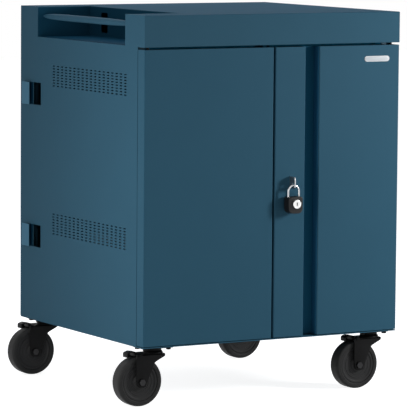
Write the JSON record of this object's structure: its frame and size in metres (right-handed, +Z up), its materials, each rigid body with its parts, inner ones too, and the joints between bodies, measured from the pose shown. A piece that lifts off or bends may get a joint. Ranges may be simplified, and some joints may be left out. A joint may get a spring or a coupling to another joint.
{
  "type": "charging cabinet",
  "caption": "Steel charging cabinet on braked swivel casters, with double doors and a padlock, a push handle let into the top, vented sides and cord hooks.",
  "frame": {"origin": "on the floor, at the centre of the footprint including the wheels, the cord hooks and the padlock", "axes": "+Z up, the double doors face -Y, +X towards the right door as seen from the front"},
  "size_m": [0.82, 0.739, 0.999],
  "materials": {
    "shell_paint": "satin powder coat",
    "frame_paint": "satin powder coat",
    "zinc_steel": "zinc plated",
    "shackle_steel": "bright plated",
    "padlock_black": "black enamel",
    "cylinder_steel": "turned face",
    "divider_plastic": "moulded",
    "outlet_plastic": "moulded",
    "box_paint": "fine texture",
    "switch_plastic": "gloss",
    "caster_black": "black e-coat",
    "hub_plastic": "moulded",
    "tyre_rubber": "solid rubber"
  },
  "bodies": {
    "cabinet": {"left_side_panel": "shell_paint", "right_side_panel": "shell_paint", "top_panel": "shell_paint", "handle_well": "shell_paint", "push_handle": "shell_paint", "base_plate": "shell_paint", "corner_posts": "frame_paint", "headers": "frame_paint", "magnet_catches": "outlet_plastic", "bottom_deck": "frame_paint", "middle_shelf": "frame_paint", "lower_dividers": "divider_plastic", "upper_dividers": "divider_plastic", "rear_partition": "frame_paint", "lower_outlet_strip": "outlet_plastic", "upper_outlet_strip": "outlet_plastic", "power_inlet": "outlet_plastic", "control_box": "box_paint", "upper_pivot_pins": "caster_black", "lower_pivot_pins": "caster_black", "caster_plates": "caster_black", "caster_bolts": "zinc_steel"},
    "left_door": {"left_door": "shell_paint"},
    "right_door": {"right_door": "shell_paint", "hasp_tab": "zinc_steel"},
    "rear_door": {"rear_door": "shell_paint"},
    "rear_lock": {"rear_lock": "zinc_steel"},
    "padlock_shackle": {"padlock_shackle": "shackle_steel"},
    "padlock_body": {"padlock_body": "padlock_black"},
    "padlock_cylinder": {"padlock_cylinder": "cylinder_steel"},
    "rocker_switch": {"rocker_switch": "switch_plastic"},
    "front_left_swivel": {"front_left_fork": "caster_black", "front_left_axle": "zinc_steel"},
    "front_left_wheel": {"front_left_hub": "hub_plastic", "front_left_tyre": "tyre_rubber"},
    "front_left_brake": {"front_left_pedal": "caster_black"},
    "front_right_swivel": {"front_right_fork": "caster_black", "front_right_axle": "zinc_steel"},
    "front_right_wheel": {"front_right_hub": "hub_plastic", "front_right_tyre": "tyre_rubber"},
    "front_right_brake": {"front_right_pedal": "caster_black"},
    "rear_left_swivel": {"rear_left_fork": "caster_black", "rear_left_axle": "zinc_steel"},
    "rear_left_wheel": {"rear_left_hub": "hub_plastic", "rear_left_tyre": "tyre_rubber"},
    "rear_left_brake": {"rear_left_pedal": "caster_black"},
    "rear_right_swivel": {"rear_right_fork": "caster_black", "rear_right_axle": "zinc_steel"},
    "rear_right_wheel": {"rear_right_hub": "hub_plastic", "rear_right_tyre": "tyre_rubber"},
    "rear_right_brake": {"rear_right_pedal": "caster_black"}
  },
  "joints": [
    {"name": "left_door_swing", "type": "hinge", "parent": "cabinet", "child": "left_door", "pos_m": [-0.337, -0.3135, 0.5345], "axis": [0, 0, -1], "range_deg": [0, 120]},
    {"name": "right_door_swing", "type": "hinge", "parent": "cabinet", "child": "right_door", "pos_m": [0.392, -0.3135, 0.5345], "axis": [0, 0, 1], "range_deg": [0, 120]},
    {"name": "rear_door_swing", "type": "hinge", "parent": "cabinet", "child": "rear_door", "pos_m": [0.392, 0.3555, 0.5345], "axis": [0, 0, -1], "range_deg": [0, 110]},
    {"name": "rear_lock_turn", "type": "hinge", "parent": "rear_door", "child": "rear_lock", "pos_m": [-0.295, 0.3655, 0.5345], "axis": [0, -1, 0], "range_deg": [0, 90]},
    {"name": "padlock_swing", "type": "hinge", "parent": "right_door", "child": "padlock_shackle", "pos_m": [0.077, -0.3495, 0.5546], "axis": [-1, 0, 0], "range_deg": [0, 60]},
    {"name": "padlock_release", "type": "slide", "parent": "padlock_shackle", "child": "padlock_body", "axis": [0, 0, -1], "range_m": [0, 0.012]},
    {"name": "key_turn", "type": "hinge", "parent": "padlock_body", "child": "padlock_cylinder", "pos_m": [0.077, -0.3635, 0.5071], "axis": [0, -1, 0], "range_deg": [0, 90]},
    {"name": "power_rocker", "type": "hinge", "parent": "cabinet", "child": "rocker_switch", "pos_m": [-0.16833, 0.262, 0.201], "axis": [-1, 0, 0], "range_deg": [0, 16]},
    {"name": "front_left_swivel", "type": "hinge", "parent": "cabinet", "child": "front_left_swivel", "pos_m": [-0.3005, -0.2845, 0.131], "axis": [0, 0, 1], "continuous": true},
    {"name": "front_left_roll", "type": "hinge", "parent": "front_left_swivel", "child": "front_left_wheel", "pos_m": [-0.3465, -0.2845, 0.0635], "axis": [0, 1, 0], "continuous": true},
    {"name": "front_left_brake_press", "type": "hinge", "parent": "front_left_swivel", "child": "front_left_brake", "pos_m": [-0.3555, -0.2845, 0.132], "axis": [0, -1, 0], "range_deg": [0, 10]},
    {"name": "front_right_swivel", "type": "hinge", "parent": "cabinet", "child": "front_right_swivel", "pos_m": [0.3555, -0.2845, 0.131], "axis": [0, 0, 1], "continuous": true},
    {"name": "front_right_roll", "type": "hinge", "parent": "front_right_swivel", "child": "front_right_wheel", "pos_m": [0.3095, -0.2845, 0.0635], "axis": [0, 1, 0], "continuous": true},
    {"name": "front_right_brake_press", "type": "hinge", "parent": "front_right_swivel", "child": "front_right_brake", "pos_m": [0.3005, -0.2845, 0.132], "axis": [0, -1, 0], "range_deg": [0, 10]},
    {"name": "rear_left_swivel", "type": "hinge", "parent": "cabinet", "child": "rear_left_swivel", "pos_m": [-0.3005, 0.3185, 0.131], "axis": [0, 0, 1], "continuous": true},
    {"name": "rear_left_roll", "type": "hinge", "parent": "rear_left_swivel", "child": "rear_left_wheel", "pos_m": [-0.3465, 0.3185, 0.0635], "axis": [0, 1, 0], "continuous": true},
    {"name": "rear_left_brake_press", "type": "hinge", "parent": "rear_left_swivel", "child": "rear_left_brake", "pos_m": [-0.3555, 0.3185, 0.132], "axis": [0, -1, 0], "range_deg": [0, 10]},
    {"name": "rear_right_swivel", "type": "hinge", "parent": "cabinet", "child": "rear_right_swivel", "pos_m": [0.3555, 0.3185, 0.131], "axis": [0, 0, 1], "continuous": true},
    {"name": "rear_right_roll", "type": "hinge", "parent": "rear_right_swivel", "child": "rear_right_wheel", "pos_m": [0.3095, 0.3185, 0.0635], "axis": [0, 1, 0], "continuous": true},
    {"name": "rear_right_brake_press", "type": "hinge", "parent": "rear_right_swivel", "child": "rear_right_brake", "pos_m": [0.3005, 0.3185, 0.132], "axis": [0, -1, 0], "range_deg": [0, 10]}
  ]
}
